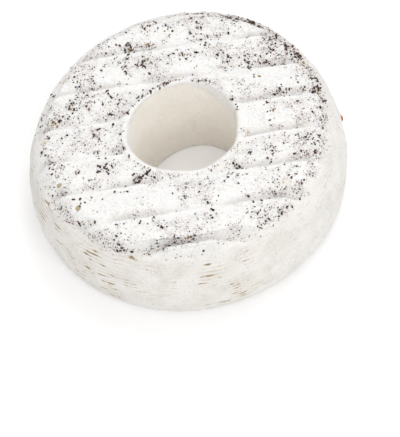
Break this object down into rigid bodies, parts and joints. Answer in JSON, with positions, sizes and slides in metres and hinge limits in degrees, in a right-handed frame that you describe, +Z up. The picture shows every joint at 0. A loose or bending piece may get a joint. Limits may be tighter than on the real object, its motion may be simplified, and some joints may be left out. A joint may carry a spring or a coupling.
{
  "type": "ring-shaped soft-ripened cheese wheel with a peppered white rind",
  "caption": "Ring-shaped wheel of soft-ripened cheese with a central hole, bulging side, ash-and-pepper dusted top with rack marks, and a flat underside to rest on.",
  "frame": {"origin": "middle of the object's footprint, on the flat underside that it rests on", "axes": "+Z up along the axis of the ring and its hole; +X and +Y lie across the wheel, with the rack marks running nearly along X"},
  "size_m": [0.2006, 0.1998, 0.0686],
  "materials": {
    "rind": "matte white bloomy mould rind with grey ash mottling",
    "pepper": "matte dark brown cracked pepper",
    "berry_skin": "satin orange-red dried berry skin"
  },
  "bodies": {
    "root": {"cheese_wheel": "rind"}
  },
  "joints": []
}
